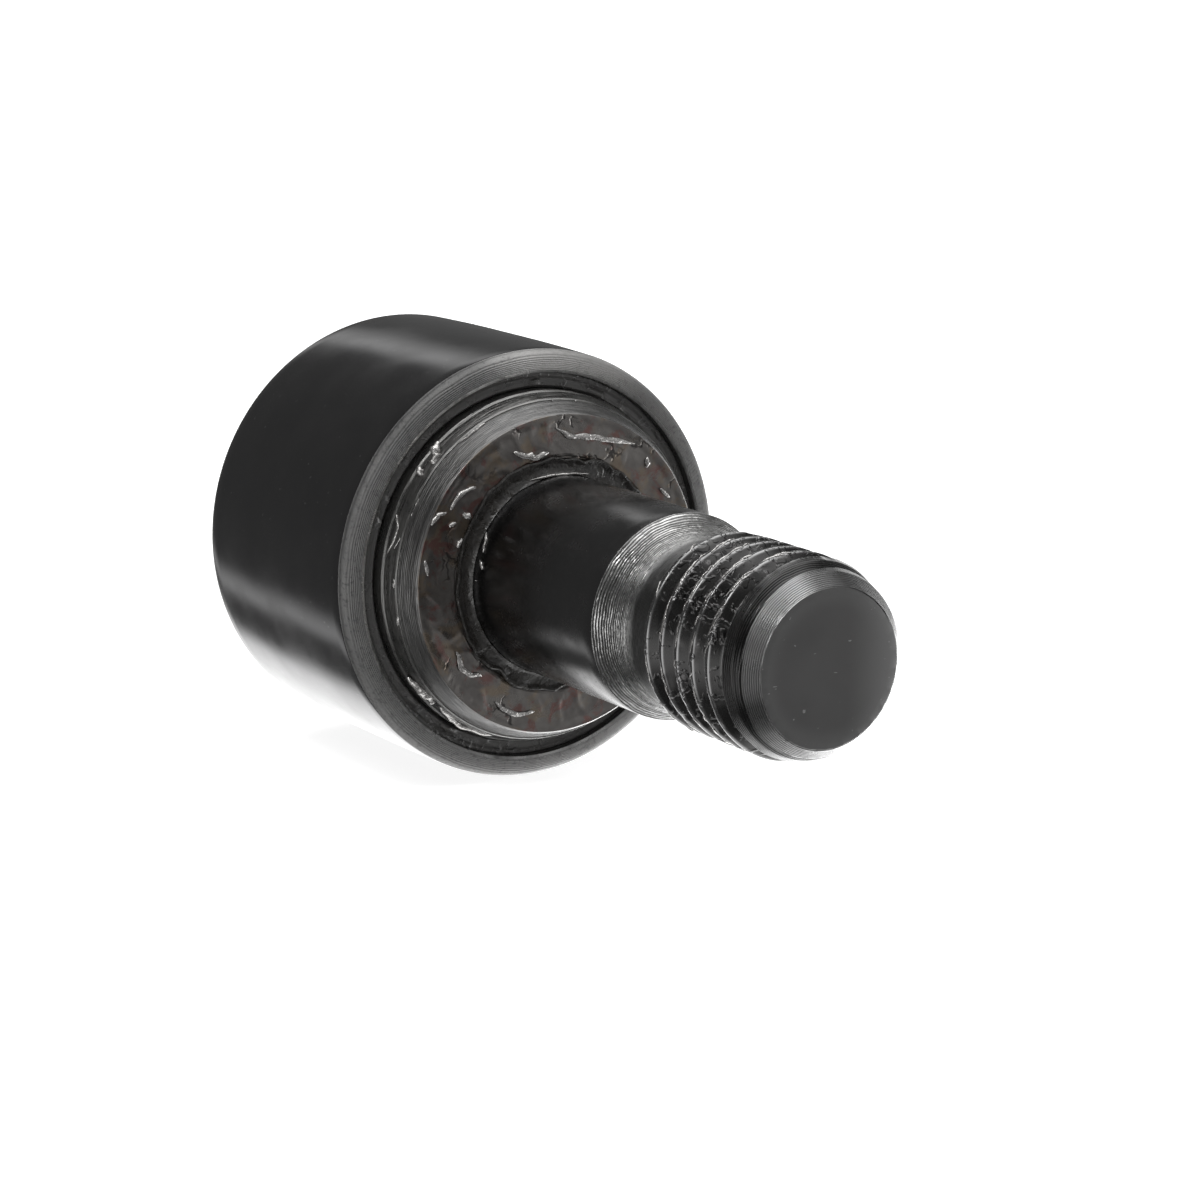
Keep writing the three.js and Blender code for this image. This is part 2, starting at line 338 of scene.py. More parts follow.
def plate_rim(n):
    vec, radius, along, angle = coords(n)
    cloud = n.noise(vec, 1.0, 4, 0.6)
    marks = lined(n, n.add(along, n.mul(radius, 0.4)), n.mul(n.noise(vec, 0.6, 1), 0.05), 0.08)
    base = n.mix(cloud, rgb(0.065), rgb(0.13, 0.128, 0.124))
    streak_at = n.put("ShaderNodeCombineXYZ", [n.mul(radius, 5.0), n.mul(along, 5.0), n.mul(angle, 3.0)])
    wet_and_painted_shade = n.ramp(n.noise(streak_at, 1.0, 3, 0.6, 0.5), 0.42, 0.62)
    base = n.mix(n.mul(wet_and_painted_shade, 0.5), base, rgb(0.045))
    rough = n.add(n.mul(wet_and_painted_shade, -0.1), 0.4)
    height = n.add(n.mul(marks, 0.6), n.mul(wet_and_painted_shade, 0.8))
    return {"Base Color": base, "Roughness": rough, "Normal": n.bump(height, 0.000018)}


def shank(n):
    # ground shank, oily and glossy, with a few prick marks
    vec, radius, along, angle = coords(n)
    cloud = n.noise(vec, 0.6, 3, 0.6)
    ring = n.put("ShaderNodeCombineXYZ", [n.mul(along, 22.0), n.mul(radius, 2.0), n.mul(angle, 1.0)])
    grind = n.noise(ring, 1.0, 2, 0.6)
    speck = n.ramp(n.noise(vec, 4.5, 1, 0.5), 0.70, 0.76)
    base = n.mix(cloud, rgb(0.10), rgb(0.135, 0.133, 0.133))
    rough = n.add(n.ramp(cloud, 0.3, 0.7, 0.16, 0.27), n.mul(grind, 0.03))
    height = n.add(n.mul(grind, 0.5), n.mul(speck, 3.0))
    return {"Base Color": base, "Roughness": rough, "Normal": n.bump(height, 0.0000012)}


def relief(n):
    # turned cone and neck: coarse bright tool marks broken up by oil
    vec, radius, along, angle = coords(n)
    cloud = n.noise(vec, 1.0, 4, 0.62)
    wob = n.mul(n.noise(vec, 0.9, 2), 0.11)
    marks = lined(n, along, wob, 0.094)
    broken = n.noise(n.put("ShaderNodeCombineXYZ", [n.mul(along, 7.0), n.mul(angle, 5.0), 0.0]), 1.0, 3, 0.6)
    base = n.mix(cloud, rgb(0.22), rgb(0.40, 0.398, 0.39))
    base = n.mix(n.mul(n.ramp(marks, 0.45, 0.0), n.ramp(along, 12.6, 13.2, 0.85, 0.3)), base, rgb(0.02))
    base = n.mix(n.ramp(along, 12.3, 13.2, 0.0, 0.75), base, rgb(0.05))
    # painted shade: the lower side of the cone and neck is darkened in colour
    painted_shade_underside = n.ramp(n.put("ShaderNodeSeparateXYZ", [vec], out=2), -1.0, -3.6)
    base = n.mix(n.mul(painted_shade_underside, 0.6), base, rgb(0.06))
    rough = n.add(n.ramp(broken, 0.35, 0.65, 0.2, 0.34), n.ramp(along, 12.4, 13.0, 0.0, 0.08))
    cone = n.ramp(along, 12.5, 13.3, 1.0, 0.4)
    height = n.mul(n.add(n.mul(marks, n.ramp(broken, 0.3, 0.7, 0.6, 1.0)), n.mul(broken, 0.3)), cone)
    return {"Base Color": base, "Roughness": rough, "Normal": n.bump(height, 0.00004)}


def threaded(n):
    # thread: smooth rolled metal, wet with oil that beads here and there
    vec, radius, along, angle = coords(n)
    cloud = n.noise(vec, 0.8, 3, 0.6)
    high = n.put("ShaderNodeSeparateXYZ", [vec], out=2)
    drop = n.ramp(n.add(n.noise(vec, 1.7, 2, 0.5, 0.7), n.mul(high, 0.012)), 0.55, 0.65)
    crest = n.ramp(radius, 4.66, 4.79)
    base = n.mix(cloud, rgb(0.03), rgb(0.052, 0.051, 0.05))
    base = n.mix(n.mul(crest, 0.55), base, rgb(0.24))
    chamfer = n.ramp(n.add(along, radius), 26.45, 26.6)
    nose = n.ramp(along, 21.2, 21.35)
    marks = lined(n, n.add(n.mul(radius, -0.5), n.mul(along, 0.5)), n.mul(n.noise(vec, 1.0, 2), 0.06), 0.07)
    base = n.mix(n.mul(nose, n.ramp(marks, 0.45, 0.0, 0.0, 0.8)), base, rgb(0.015))
    base = n.mix(n.mul(chamfer, n.ramp(marks, 0.1, 0.7, 0.1, 0.6)), base, rgb(0.15))
    # painted highlight: the chamfer is lightened in colour across the upper left
    lit = n.mul(chamfer, n.mul(n.ramp(angle, -1.5, -1.0), n.ramp(angle, -0.4, -0.1, 1.0, 0.0)))
    base = n.mix(n.mul(lit, 0.7), base, rgb(0.42))
    rough = n.add(n.ramp(cloud, 0.35, 0.65, 0.16, 0.28), n.mul(nose, 0.1))
    height = n.add(n.mul(drop, n.mul(n.ramp(along, 20.6, 21.3, 1.0, 0.0), 1.0)), n.mul(marks, n.mul(nose, 1.0)))
    return {"Base Color": base, "Roughness": rough, "Normal": n.bump(height, 0.00004)}


def tip_face(n):
    # sawn and blackened end: dull with faint nicks, and a painted highlight that lightens it towards +X
    vec, radius, along, angle = coords(n)
    cloud = n.noise(vec, 0.5, 3, 0.55)
    speck = n.ramp(n.noise(vec, 2.6, 2, 0.5), 0.72, 0.75)
    nick_at = n.put("ShaderNodeMapping", {"Vector": vec, "Rotation": (0, 0.6, 0), "Scale": (1.6, 1.0, 6.0)})
    nick = n.ramp(n.noise(nick_at, 1.0, 1, 0.4), 0.755, 0.79)
    painted_light_x = n.put("ShaderNodeSeparateXYZ", [vec], out=0)
    base = n.mix(cloud, rgb(0.028), rgb(0.042, 0.041, 0.041))
    # painted highlight: the face is lighter towards +X
    base = n.mix(n.mul(n.ramp(painted_light_x, 0.8, 3.9), 0.5), base, rgb(0.13))
    base = n.mix(n.mul(n.math("MAXIMUM", nick, speck), 0.3), base, rgb(0.3))
    base = n.mix(n.mul(n.ramp(radius, 2.6, 3.6), 0.2), base, rgb(0.1))
    rough = n.ramp(cloud, 0.3, 0.7, 0.45, 0.55)
    height = n.add(n.mul(n.noise(vec, 12.0, 3), 0.5), n.mul(nick, -0.4))
    return {"Base Color": base, "Roughness": rough, "Normal": n.bump(height, 0.000004)}


def grease(n):
    # old grease: near black, wet on top
    vec, radius, along, angle = coords(n)
    cloud = n.noise(vec, 1.2, 3, 0.6)
    base = n.mix(cloud, rgb(0.004), rgb(0.016, 0.014, 0.012))
    rough = n.ramp(n.noise(vec, 2.0, 3, 0.6), 0.35, 0.65, 0.2, 0.5)
    return {"Base Color": base, "Roughness": rough, "Normal": n.bump(n.noise(vec, 2.0, 3, 0.6, 0.5), 0.0001)}


def drops(n):
    # fresh grease standing proud: grey and bright on top
    vec, radius, along, angle = coords(n)
    cloud = n.noise(vec, 1.8, 3, 0.6)
    base = n.mix(cloud, rgb(0.2, 0.195, 0.19), rgb(0.42, 0.41, 0.4))
    rough = n.ramp(n.noise(vec, 3.0, 3, 0.6), 0.35, 0.65, 0.06, 0.2)
    return {"Base Color": base, "Roughness": rough, "Normal": n.bump(n.noise(vec, 3.2, 3, 0.6, 0.5), 0.00008)}


def rubber(n):
    vec, radius, along, angle = coords(n)
    cloud = n.noise(vec, 1.0, 4, 0.6)
    wet_and_painted_shade = n.ramp(n.noise(vec, 1.7, 3, 0.6, 0.7), 0.5, 0.66)
    base = n.mix(cloud, rgb(0.03), rgb(0.055, 0.053, 0.05))
    rough = n.add(n.mul(wet_and_painted_shade, -0.25), 0.5)
    height = n.add(n.mul(wet_and_painted_shade, 1.0), n.mul(n.noise(vec, 10.0, 2), 0.1))
    return {"Base Color": base, "Roughness": rough, "Normal": n.bump(height, 0.00004)}


def bright(n):
    vec, radius, along, angle = coords(n)
    cloud = n.noise(vec, 1.5, 3, 0.6)
    grind = n.noise(n.put("ShaderNodeVectorMath", [vec, (3.0, 30.0, 3.0)], operation="MULTIPLY"), 1.0, 2, 0.6)
    base = n.mix(cloud, rgb(0.55, 0.56, 0.57), rgb(0.66, 0.66, 0.67))
    rough = n.add(n.ramp(cloud, 0.3, 0.7, 0.1, 0.18), n.mul(grind, 0.05))
    return {"Base Color": base, "Roughness": rough, "Normal": n.bump(grind, 0.0000008)}


def pressed(n):
    vec, radius, along, angle = coords(n)
    cloud = n.noise(vec, 1.0, 4, 0.6)
    base = n.mix(cloud, rgb(0.3), rgb(0.42, 0.415, 0.40))
    rough = n.ramp(cloud, 0.3, 0.7, 0.28, 0.42)
    return {"Base Color": base, "Roughness": rough, "Normal": n.bump(n.noise(vec, 8.0, 3), 0.000006)}


def brassy(n):
    vec, radius, along, angle = coords(n)
    cloud = n.noise(vec, 1.4, 4, 0.6)
    marks = lined(n, radius, 0.0, 0.06)
    base = n.mix(cloud, rgb(0.50, 0.36, 0.14), rgb(0.62, 0.47, 0.2))
    rough = n.ramp(cloud, 0.3, 0.7, 0.22, 0.38)
    return {"Base Color": base, "Roughness": rough, "Normal": n.bump(n.add(n.mul(marks, 0.5), cloud), 0.000004)}


M = {
    "ground": material("ground_black_oxide", ground, **{"Metallic": 1.0}),
    "turned": material("turned_black_oxide", turned, **{"Metallic": 0.9}),
    "lip": material("ring_lip_edge", lip_edge, **{"Metallic": 1.0}),
    "groove": material("greasy_black_oxide", groove_dark, **{"Metallic": 0.9, "Coat Weight": 0.4, "Coat Roughness": 0.08}),
    "plate": material("greased_plate", plate, **{"Metallic": 0.9, "Coat Weight": 0.4, "Coat Roughness": 0.1}),
    "rim": material("plate_rim_steel", plate_rim, **{"Metallic": 0.9, "Coat Weight": 0.3, "Coat Roughness": 0.1}),
    "shank": material("ground_shank", shank, **{"Metallic": 1.0}),
    "relief": material("turned_relief", relief, **{"Metallic": 1.0}),
    "thread": material("oiled_thread", threaded, **{"Metallic": 0.95, "Coat Weight": 0.3, "Coat Roughness": 0.05}),
    "tip": material("dull_tip", tip_face, **{"Metallic": 0.35}),
    "grease": material("black_grease", grease, **{"Metallic": 0.0}),
    "drops": material("wet_grease", drops, **{"Metallic": 0.75, "Coat Weight": 0.6, "Coat Roughness": 0.05}),
    "rubber": material("nitrile_rubber", rubber, **{"Metallic": 0.0, "Coat Weight": 0.12, "Coat Roughness": 0.12}),
    "bright": material("bearing_steel", bright, **{"Metallic": 1.0}),
    "pressed": material("pressed_cage_steel", pressed, **{"Metallic": 1.0}),
    "brass": material("turned_brass", brassy, **{"Metallic": 1.0}),
}


# ------------------------------------------------------------------ mesh helpers
def fillet(points, radii, steps=5):
    """Rounds each corner of an open profile with an arc. A radius of 0 keeps the corner."""
    out = []
    n = len(points)
    for i, p in enumerate(points):
        rad = radii.get(i, 0.0) if isinstance(radii, dict) else radii
        if i in (0, n - 1) or not rad:
            out.append(tuple(p))
            continue
        p = np.array(p, float)
        a, b = np.array(points[i - 1], float) - p, np.array(points[i + 1], float) - p
        la, lb = np.linalg.norm(a), np.linalg.norm(b)
        a, b = a / la, b / lb
        half = math.acos(max(-1.0, min(1.0, float(a @ b)))) / 2
        if half > math.radians(88):
            out.append(tuple(p))
            continue
        cut = min(rad / math.tan(half), la * 0.45, lb * 0.45)
        rad = cut * math.tan(half)
        centre = p + (a + b) / np.linalg.norm(a + b) * rad / math.sin(half)
        s0, s1 = p + a * cut, p + b * cut
        v0, v1 = s0 - centre, s1 - centre
        t = math.acos(max(-1.0, min(1.0, float(v0 @ v1) / (np.linalg.norm(v0) * np.linalg.norm(v1)))))
        for k in range(steps + 1):
            u = k / steps
            v = (math.sin((1 - u) * t) * v0 + math.sin(u * t) * v1) / math.sin(t)
            out.append(tuple(centre + v))
    return out


def dense(points, step):
    """Splits long stretches of a profile so that no row is further than step from the next."""
    out = [points[0]]
    for p, q in zip(points, points[1:]):
        n = max(1, math.ceil(math.dist(p, q) / step))
        out += [(p[0] + (q[0] - p[0]) * k / n, p[1] + (q[1] - p[1]) * k / n) for k in range(1, n + 1)]
    return out


def finish_mesh(name, verts, faces, mats, slots, body, nodes, sharp=32.0):
    mesh = bpy.data.meshes.new(name)
    mesh.from_pydata([tuple(c * MM for c in v) for v in verts], [], faces)
    for m in mats:
        mesh.materials.append(M[m])
    mesh.polygons.foreach_set("material_index", slots)
    bm = bmesh.new()
    bm.from_mesh(mesh)
    bmesh.ops.remove_doubles(bm, verts=bm.verts, dist=2e-7)
    bmesh.ops.dissolve_degenerate(bm, edges=bm.edges, dist=1e-8)
    bmesh.ops.recalc_face_normals(bm, faces=bm.faces)
    bm.to_mesh(mesh)
    bm.free()
    mesh.shade_smooth()
    mesh.set_sharp_from_angle(angle=math.radians(sharp))
    obj = bpy.data.objects.new(name, mesh)
    scene.collection.objects.link(obj)
    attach(obj, body)
    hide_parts(*nodes)
    return obj


def spin(profile, seg, closed, pick, centre=(0.0, 0.0, 0.0), shape=None):
    """Turns a profile of (r, s) round the axis. pick(r, s) gives each face's material; shape moves a vertex."""
    rows = list(profile)
    verts, faces, slots = [], [], []
    index = []
    for r, s in rows:
        if r < 1e-9:
            index.append([len(verts)])
            verts.append((centre[0], -s, centre[2]))
            continue
        index.append(list(range(len(verts), len(verts) + seg)))
        for i in range(seg):
            phi = TAU * i / seg
            rr, ss = shape(r, s, phi) if shape else (r, s)
            verts.append((centre[0] + rr * math.sin(phi), -ss, centre[2] + rr * math.cos(phi)))
    pairs = list(zip(range(len(rows)), range(1, len(rows))))
    if closed:
        pairs.append((len(rows) - 1, 0))
    for a, b in pairs:
        ia, ib = index[a], index[b]
        m = pick((rows[a][0] + rows[b][0]) / 2, (rows[a][1] + rows[b][1]) / 2)
        for i in range(seg):
            j = (i + 1) % seg
            if len(ia) == 1 and len(ib) == 1:
                continue
            if len(ia) == 1:
                faces.append((ia[0], ib[i], ib[j]))
            elif len(ib) == 1:
                faces.append((ia[i], ib[0], ia[j]))
            else:
                faces.append((ia[i], ib[i], ib[j], ia[j]))
            slots.append(m)
    return verts, faces, slots


def smooth01(t):
    t = max(0.0, min(1.0, t))
    return t * t * (3 - 2 * t)


def n3(x, y, z):
    return noise.noise(Vector((x, y, z)))


# ------------------------------------------------------------------ outer ring
FRONT, BACK = -2.2, -17.2


def ring_side(d_to_s):
    pts = [(8.8, 2.05), (9.4, 2.05), (9.4, 1.2), (9.77, 1.2), (9.77, 0.05), (9.93, 0.012), (10.03, 0.01)]
    pts = fillet(pts, {0: 0.05, 1: 0.06, 2: 0.06, 3: 0.05, 4: 0.05, 5: 0.05}, 4)
    # a soft corner, from the turned face into the ground outside
    corner = [(10.1, 0.025), (10.22, 0.05), (10.34, 0.085), (10.45, 0.125), (10.55, 0.175), (10.64, 0.235), (10.72, 0.305), (10.785, 0.385), (10.84, 0.475), (10.88, 0.57), (10.91, 0.67), (10.93, 0.78)]
    return [(r, d_to_s(d)) for r, d in pts + corner]


front_side = ring_side(lambda d: FRONT - d)
back_side = ring_side(lambda d: BACK + d)
crown = []
for k in range(1, 24):
    s_ = FRONT - 0.78 - k / 24 * 13.44
    off = abs(s_ + 9.7) / 6.72
    crown.append((11.0 - 0.07 * max(0.0, (off - 0.35) / 0.65) ** 1.6, s_))
ring_profile = front_side + crown + back_side[::-1]


def ring_slot(r, s):
    inside = min(FRONT - s, s - BACK)
    if inside > 0.7 and r > 10.8:
        return 0
    if 9.765 < r < 9.94 and inside < 0.1:
        return 4
    if r > 9.81:
        return 1
    if r < 8.9:
        return 3
    return 2


v, fc, sl = spin(ring_profile, 256, True, ring_slot)
finish_mesh("outer_ring_turned", v, fc, ["ground", "turned", "groove", "bright", "lip"], sl, "outer_ring", ["outer_ring"])


# ------------------------------------------------------------------ seals
def seal(name, d_to_s, node, greasy):
    pts = [(8.97, 0.80), (8.97, 0.62), (9.10, 0.50), (9.24, 0.55), (9.45, 0.56), (9.58, 0.48), (9.76, 0.48), (9.76, 1.16), (9.2, 1.16), (8.97, 0.98), (8.97, 0.80)]
    pts = fillet(pts, {1: 0.05, 2: 0.03, 3: 0.05, 4: 0.05, 5: 0.04, 6: 0.03, 7: 0.04, 8: 0.04, 9: 0.05}, 4)[:-1]
    pts = dense(pts, 0.09)

    def shape(r, d, phi):
        # beads of grease squeezed out past the lip
        if d < 0.75 and 9.04 < r < 9.44:
            across = math.sin(math.pi * (r - 9.04) / 0.40)
            k = n3(9.2 * math.sin(phi) * 1.1 + 3, 7.0, 9.2 * math.cos(phi) * 1.1)
            k += 0.5 * n3(9.2 * math.sin(phi) * 3.1, 2.0, 9.2 * math.cos(phi) * 3.1)
            lift = 0.2 * smooth01((k - 0.15) / 0.4) * across * greasy
            return r, d - lift
        return r, d

    def shape_s(r, s, phi):
        return (lambda q: (q[0], d_to_s(q[1])))(shape(r, s, phi))

    v, fc, sl = spin(pts, 256, True, lambda r, s: 0, shape=shape_s)
    finish_mesh(name, v, fc, ["rubber"], sl, "outer_ring", [node])


seal("stud_side_lip_seal", lambda d: FRONT - d, "seal_stud_side", 1.0)
seal("head_side_lip_seal", lambda d: BACK + d, "seal_head_side", 0.4)

# ------------------------------------------------------------------ end plate
plate_pts = [(5.78, -2.0), (5.78, -4.1), (9.3, -4.1), (9.3, -3.42), (8.95, -3.42), (8.95, -2.10), (8.86, -1.98), (8.66, -1.22), (8.60, -1.12), (8.53, -1.14), (8.50, -1.02), (8.12, -0.12), (8.03, 0.0), (6.06, 0.0), (5.9, -0.10), (5.78, -0.2), (5.78, -2.0)]
plate_pts = fillet(plate_pts, {1: 0.08, 2: 0.08, 3: 0.05, 4: 0.05, 5: 0.05, 6: 0.05, 7: 0.04, 8: 0.03, 9: 0.03, 10: 0.05, 11: 0.1, 12: 0.05, 13: 0.05, 14: 0.04, 15: 0.03}, 4)[:-1]
plate_profile = dense(plate_pts, 0.09)


def plate_shape(r, s, phi):
    x0, z0 = r * math.sin(phi), r * math.cos(phi)
    if s > -0.14 and r < 8.0:
        # a skin of grease with wrinkles that run round the shank, never proud of the plate's face
        edge = smooth01((8.0 - r) / 0.5)
        wide = n3(x0 * 0.5, 3.0, z0 * 0.5)
        fold = abs(n3(x0 * 0.9 + 5, 1.0, z0 * 0.9))
        fine = abs(n3(x0 * 2.1, 8.0, z0 * 2.1))
        sink = 0.03 + 0.05 * (0.5 - wide) + 0.03 * min(1.0, fold * 3.0) + 0.008 * min(1.0, fine * 3)
        return r, s - edge * max(0.0, sink) * (1.0 if s > -0.02 else 0.5)
    if -1.0 < s < -0.1 and r > 8.0:
        k = n3(x0 * 1.6, s * 3, z0 * 1.6)
        return r - 0.018 * max(0.0, k), s
    return r, s


def plate_slot(r, s):
    if s > -0.2 and r < 8.06:
        return 0
    return 1 if s > -1.12 else 2




def bead(path, wide, tall, lean, seed):
    """A fold or drop of grease along a path of (r, degrees, s). lean tilts it from the face (0) to the radius (1)."""
    pts = []
    for r, deg, ss in path:
        a = math.radians(deg)
        pts.append(Vector((r * math.sin(a), -ss, r * math.cos(a))))
    if len(pts) == 1:
        pts = [pts[0] + Vector((-wide * 0.4, 0, wide * 0.5)), pts[0] + Vector((wide * 0.4, 0, -wide * 0.5))]
    full = [2 * pts[0] - pts[1], *pts, 2 * pts[-1] - pts[-2]]
    line = []
    per = 10
    for i in range(len(pts) - 1):
        p0, p1, p2, p3 = full[i : i + 4]
        for k in range(per):
            t = k / per
            line.append(0.5 * (2 * p1 + (p2 - p0) * t + (2 * p0 - 5 * p1 + 4 * p2 - p3) * t * t + (3 * p1 - p0 - 3 * p2 + p3) * t**3))
    line.append(pts[-1])
    ring = 12
    vs, fs = [tuple(line[0])], []
    n = len(line)
    for i in range(1, n - 1):
        c = line[i]
        t = i / (n - 1)
        radial = Vector((c.x, 0, c.z)).normalized()
        up_ = (Vector((0, -1, 0)) * (1 - lean) + radial * lean).normalized()
        along_ = (line[i + 1] - line[i - 1]).normalized()
        across = along_.cross(up_).normalized()
        k = math.sin(math.pi * t) ** 0.45 * (1 + 0.45 * n3(seed + t * len(pts) * 1.6, 4.0, 1.0))
        c = c + across * wide * 0.7 * n3(seed * 1.7, t * len(pts) * 1.3, 9.0)
        for j in range(ring):
            q = TAU * j / ring
            vs.append(tuple(c + across * wide * k * math.cos(q) + up_ * tall * k * math.sin(q)))
    vs.append(tuple(line[-1]))
    rows_ = n - 2
    for j in range(ring):
        m = (j + 1) % ring
        fs.append((0, 1 + j, 1 + m))
        for i in range(rows_ - 1):
            b0, b1 = 1 + i * ring, 1 + (i + 1) * ring
            fs.append((b0 + j, b1 + j, b1 + m, b0 + m))
        fs.append((len(vs) - 1, 1 + (rows_ - 1) * ring + m, 1 + (rows_ - 1) * ring + j))
    return vs, fs


beads = [
    # folds on the plate's face
    ([(7.39, -1.2, 0), (6.94, 6.3, 0), (6.99, 15.1, 0), (7.18, 25.6, 0), (7.6, 36, 0)], 0.13, 0.10, 0),
    ([(6.95, -22, 0), (6.5, -17.4, 0), (6.2, -12, 0), (6.25, -5, 0)], 0.14, 0.12, 0),
    ([(7.35, -58, 0), (7.23, -50, 0), (6.83, -43.6, 0)], 0.11, 0.11, 0),
    ([(8.0, -65.8, 0), (7.82, -61.7, 0), (7.45, -58.9, 0)], 0.10, 0.10, 0),
    ([(6.99, -63.9, 0), (6.75, -60.6, 0)], 0.09, 0.09, 0),
    ([(6.64, -56.6, 0.03), (6.1, -55.4, 0.03)], 0.13, 0.14, 0),
    ([(6.05, -66, 0.02), (6.2, -71, 0.02)], 0.10, 0.10, 0),
    ([(7.5, 44, 0), (7.1, 47, 0)], 0.10, 0.06, 0),
    ([(6.73, -118, 0), (6.9, -128, 0), (6.45, -136, 0)], 0.12, 0.06, 0),
    ([(7.1, -148, 0), (7.3, -158, 0), (7.0, -168, 0)], 0.11, 0.05, 0),
    # drops and streaks on the rim and in the groove behind it
    ([(9.1, -39.5, -1.7), (8.98, -43.5, -1.6), (8.62, -45.4, -1.5), (8.5, -48.6, -1.5)], 0.20, 0.17, 0.5),
    ([(9.05, -49.6, -1.8), (8.75, -52, -1.6)], 0.14, 0.13, 0.5),
    ([(8.5, -55.1, -1.2), (8.52, -61.4, -1.2), (8.46, -66.1, -1.2), (8.6, -72.0, -1.3), (8.75, -77, -1.5)], 0.07, 0.08, 0.5),
    ([(8.9, -66, -1.9), (8.72, -71, -1.6), (8.9, -79, -1.8)], 0.06, 0.06, 0.5),
    ([(8.62, -86, -1.3), (8.6, -90, -1.3)], 0.10, 0.10, 0.5),
    ([(8.55, -98, -1.2), (8.62, -103, -1.3)], 0.10, 0.09, 0.5),
    ([(9.0, -121, -1.9), (8.82, -126, -1.6), (8.78, -131, -1.6), (8.74, -134, -1.5)], 0.18, 0.14, 0.5),
    ([(8.5, -132, -1.3), (8.64, -136.6, -1.5), (8.8, -142.6, -1.7), (8.88, -148, -1.8), (8.75, -156, -1.7), (8.7, -166, -1.6)], 0.13, 0.12, 0.5),
    ([(8.55, 2, -1.1)], 0.07, 0.09, 0.5),
    ([(8.55, 11, -1.1)], 0.07, 0.08, 0.5),
    ([(5.2, -19, 0.0), (5.1, -8, 0.1), (5.06, 0.7, 0.06), (5.1, 9.6, 0.1), (5.2, 20, 0.0)], 0.05, 0.05, 0.5),
    ([(5.04, -58, 0.2), (5.04, -64, 0.45), (5.04, -70, 0.6)], 0.06, 0.05, 1.0),
    ([(5.04, -74, 0.5), (5.04, -79, 0.9)], 0.07, 0.05, 1.0),
    ([(5.04, -86, 0.4)], 0.06, 0.05, 1.0),
    ([(7.8, -78, 0), (7.5, -84, 0)], 0.08, 0.06, 0),
    ([(7.0, 58, 0), (7.3, 64, 0)], 0.08, 0.05, 0),
    ([(8.56, -24, -1.1), (8.55, -31, -1.1), (8.54, -36, -1.1)], 0.06, 0.07, 0.5),
]
plate_mesh = list(spin(plate_profile, 384, True, plate_slot, shape=plate_shape))
for i, (path, wide, tall, lean) in enumerate(beads):
    bv, bf = bead(path, wide * 1.25, tall * 1.15, lean, i * 3.1)
    base_i = len(plate_mesh[0])
    plate_mesh[0] += bv
    plate_mesh[1] += [tuple(q + base_i for q in f_) for f_ in bf]
    plate_mesh[2] += [4] * len(bf)

# grease squeezed into the groove round the shank, with a ragged outer edge
root = [(5.02, -0.47), (5.02, 0.08), (5.1, 0.0), (5.2, -0.06), (5.4, -0.12), (5.62, -0.1), (5.74, -0.02), (5.82, 0.012), (5.9, -0.02), (5.9, -0.2), (5.76, -0.3), (5.6, -0.47)]
root = dense(root, 0.08)


def root_shape(r, s, phi):
    if r > 5.1 and s > -0.25:
        k = n3(3.1 * math.sin(phi) + 4, 2.0, 3.1 * math.cos(phi)) + 0.5 * n3(8 * math.sin(phi), 6.0, 8 * math.cos(phi))
        r = r + (r - 5.1) * 0.45 * k
        s = s + 0.05 * n3(6 * math.sin(phi) * r / 5, 1.0, 6 * math.cos(phi) * r / 5) * smooth01((r - 5.1) / 0.2)
    elif r <= 5.1 and s > 0:
        s = s * (1 + 0.9 * n3(5 * math.sin(phi), 7.0, 5 * math.cos(phi)))
    return r, s


rv, rf, _ = spin(root, 288, True, lambda r, s: 0, shape=root_shape)
base_i = len(plate_mesh[0])
plate_mesh[0] += rv
plate_mesh[1] += [tuple(q + base_i for q in f_) for f_ in rf]
plate_mesh[2] += [3] * len(rf)
v, fc, sl = plate_mesh
finish_mesh("end_plate_greased", v, fc, ["plate", "rim", "groove", "grease", "drops"], sl, "stud", ["end_plate"])

# ------------------------------------------------------------------ stud
TIP, TIP_R, TIP_SLOPE = 23.0, 3.72, 1.0
CREST, ROOT, NECK_R, NECK_END, PITCH = 4.8, 4.235, 4.1, 14.3, 1.25
CREST_AT = 14.95  # first crest, straight above the axis
SEG = 240

plain = [(0, -18.2), (8.3, -18.2), (8.86, -17.85), (8.95, -17.3), (8.95, -15.98), (9.3, -15.98), (9.3, -15.3), (6.1, -15.3), (6.1, -14.8), (6.22, -14.7), (6.22, -4.14), (5.75, -4.14), (5.75, -0.62), (5.63, -0.5), (5.12, -0.5), (5.0, -0.38), (5.0, 10.97)]
plain = fillet(plain, {1: 0.25, 2: 0.25, 3: 0.1, 4: 0.05, 5: 0.08, 6: 0.08, 7: 0.05, 8: 0.05, 9: 0.04, 10: 0.05, 11: 0.05, 12: 0.05, 13: 0.04, 14: 0.04, 15: 0.1}, 4)
shank_rows = dense([p for p in plain if p[1] > -0.4 and p[0] < 5.01], 0.8)
plain = [p for p in plain if not (p[1] > -0.4 and p[0] < 5.01)] + shank_rows
# turned cone with real tool grooves, then a short plain neck
cone = [(4.985, 11.01)]
steps = 56
for k in range(1, steps + 1):
    t = k / steps
    depth = 0.010 * (0.5 - 0.5 * math.cos(t * TAU * 14)) * (1 - smooth01((t - 0.8) / 0.2))
    cone.append((4.085 + 0.9 * (1 - t) ** 2.3 - depth * 0.7, 11.01 + 1.75 * t - depth * 0.5 * (1 - t)))
neck = [(4.085, 13.0), (4.085, 13.9), (4.1, 14.2)]


